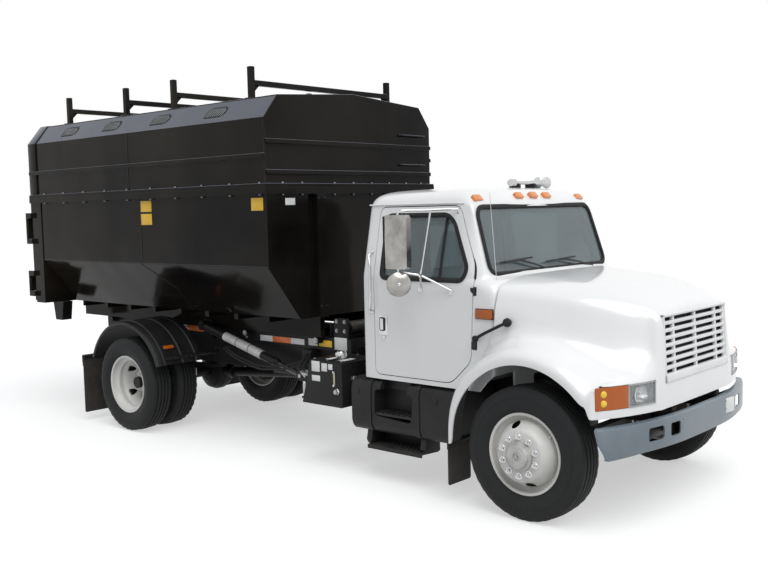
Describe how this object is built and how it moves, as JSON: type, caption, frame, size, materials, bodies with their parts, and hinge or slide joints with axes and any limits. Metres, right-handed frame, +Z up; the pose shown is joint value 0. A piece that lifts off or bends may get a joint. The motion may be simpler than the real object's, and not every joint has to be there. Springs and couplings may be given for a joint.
{
  "type": "roll-off truck",
  "caption": "Long-nose two-axle truck with a tilting cable hoist that carries and unloads a covered steel drop box.",
  "frame": {"origin": "on the ground, midway along and across the truck", "axes": "+X forward, +Y to the left, +Z up"},
  "size_m": [7.64, 2.69, 3.5719],
  "materials": {
    "white_paint": "gloss",
    "hood_paint": "gloss",
    "bumper_paint": "satin",
    "container_black": "gloss",
    "chassis_black": "satin",
    "wheel_white": "gloss",
    "tyre": "matte",
    "black_plastic": "matte",
    "glass": "gloss",
    "lamp_amber": "gloss",
    "lamp_red": "gloss",
    "steel": "satin",
    "chrome": "polished",
    "iron": "matte",
    "trim_grey": "matte",
    "seat_cloth": "woven",
    "rubber": "matte"
  },
  "bodies": {
    "chassis": {"frame_rails": "chassis_black", "crossmembers": "chassis_black", "leaf_springs": "chassis_black", "front_axle": "chassis_black", "rear_axle": "chassis_black", "engine": "iron", "driveshaft": "chassis_black", "exhaust": "steel", "front_bumper": "bumper_paint", "fuel_tank": "black_plastic", "battery_box": "black_plastic", "hydraulic_tank": "chassis_black", "rear_fenders": "black_plastic", "mud_flaps": "rubber", "tail_lamps": "lamp_red", "hoist_subframe": "chassis_black", "cab_floor": "trim_grey", "cab_back": "white_paint", "cab_cowl": "white_paint", "cab_roof": "white_paint", "cab_sides": "white_paint", "cab_glass": "glass", "dashboard": "trim_grey", "seats": "seat_cloth", "steering_wheel": "black_plastic", "air_horn": "chrome"},
    "steering_left": {"knuckle_left": "iron"},
    "steering_right": {"knuckle_right": "iron"},
    "wheel_front_left": {"front_tyre_left": "tyre", "front_wheel_left": "wheel_white"},
    "wheel_front_right": {"front_tyre_right": "tyre", "front_wheel_right": "wheel_white"},
    "wheels_rear_left": {"rear_tyres_left": "tyre", "rear_wheels_left": "wheel_white"},
    "wheels_rear_right": {"rear_tyres_right": "tyre", "rear_wheels_right": "wheel_white"},
    "cab_door_left": {"door_left": "white_paint", "door_glass_left": "glass", "mirror_left": "steel"},
    "cab_door_right": {"door_right": "white_paint", "door_glass_right": "glass", "mirror_right": "steel"},
    "tilting_hood": {"hood": "hood_paint", "grille": "hood_paint", "headlamps": "lamp_amber"},
    "hoist": {"tilt_frame": "chassis_black", "winch": "steel"},
    "lift_barrels": {"lift_barrels": "chassis_black"},
    "lift_rods": {"lift_rods": "chrome"},
    "container": {"container_body": "container_black", "container_lid": "container_black", "ladder_racks": "container_black"},
    "box_door_left": {"container_door_left": "container_black"},
    "box_door_right": {"container_door_right": "container_black"}
  },
  "joints": [
    {"name": "steer_left", "type": "hinge", "parent": "chassis", "child": "steering_left", "pos_m": [2.97, 0.88, 0.49], "axis": [0, 0, 1], "range_deg": [-36, 36]},
    {"name": "steer_right", "type": "hinge", "parent": "chassis", "child": "steering_right", "pos_m": [2.97, -0.88, 0.49], "axis": [0, 0, 1], "range_deg": [-36, 36]},
    {"name": "roll_front_left", "type": "hinge", "parent": "steering_left", "child": "wheel_front_left", "pos_m": [2.97, 1.043, 0.49], "axis": [0, 1, 0], "continuous": true},
    {"name": "roll_front_right", "type": "hinge", "parent": "steering_right", "child": "wheel_front_right", "pos_m": [2.97, -1.043, 0.49], "axis": [0, 1, 0], "continuous": true},
    {"name": "roll_rear_left", "type": "hinge", "parent": "chassis", "child": "wheels_rear_left", "pos_m": [-1.9, 1.081, 0.49], "axis": [0, 1, 0], "continuous": true},
    {"name": "roll_rear_right", "type": "hinge", "parent": "chassis", "child": "wheels_rear_right", "pos_m": [-1.9, -1.081, 0.49], "axis": [0, 1, 0], "continuous": true},
    {"name": "door_left_swing", "type": "hinge", "parent": "chassis", "child": "cab_door_left", "pos_m": [2.442, 0.985, 1.5], "axis": [0, 0, -1], "range_deg": [0, 68]},
    {"name": "door_right_swing", "type": "hinge", "parent": "chassis", "child": "cab_door_right", "pos_m": [2.442, -0.985, 1.5], "axis": [0, 0, 1], "range_deg": [0, 68]},
    {"name": "hood_tilt", "type": "hinge", "parent": "chassis", "child": "tilting_hood", "pos_m": [3.73, 0, 0.772], "axis": [0, 1, 0], "range_deg": [0, 60]},
    {"name": "hoist_tilt", "type": "hinge", "parent": "chassis", "child": "hoist", "pos_m": [-3.23, 0, 0.99], "axis": [0, -1, 0], "range_deg": [0, 42]},
    {"name": "barrel_swing", "type": "hinge", "parent": "hoist", "child": "lift_barrels", "pos_m": [-1.33, 0, 1.085], "axis": [0, -1, 0], "range_deg": [-66.31, 0]},
    {"name": "rod_slide", "type": "slide", "parent": "lift_barrels", "child": "lift_rods", "axis": [0.9674, 0, -0.2534], "range_m": [0, 1.0801]},
    {"name": "container_slide", "type": "slide", "parent": "hoist", "child": "container", "axis": [-1, 0, 0], "range_m": [0, 0.9]},
    {"name": "box_door_left_swing", "type": "hinge", "parent": "container", "child": "box_door_left", "pos_m": [-3.8, 1.17, 1.85], "axis": [0, 0, -1], "range_deg": [0, 260]},
    {"name": "box_door_right_swing", "type": "hinge", "parent": "container", "child": "box_door_right", "pos_m": [-3.8, -1.17, 1.85], "axis": [0, 0, 1], "range_deg": [0, 260]}
  ],
  "couplings": [
    {"joint": "steer_right", "follows": "steer_left", "ratio": 1},
    {"joint": "barrel_swing", "follows": "hoist_tilt", "ratio": -1.5771},
    {"joint": "rod_slide", "follows": "hoist_tilt", "m_per_rad": 1.4713}
  ]
}
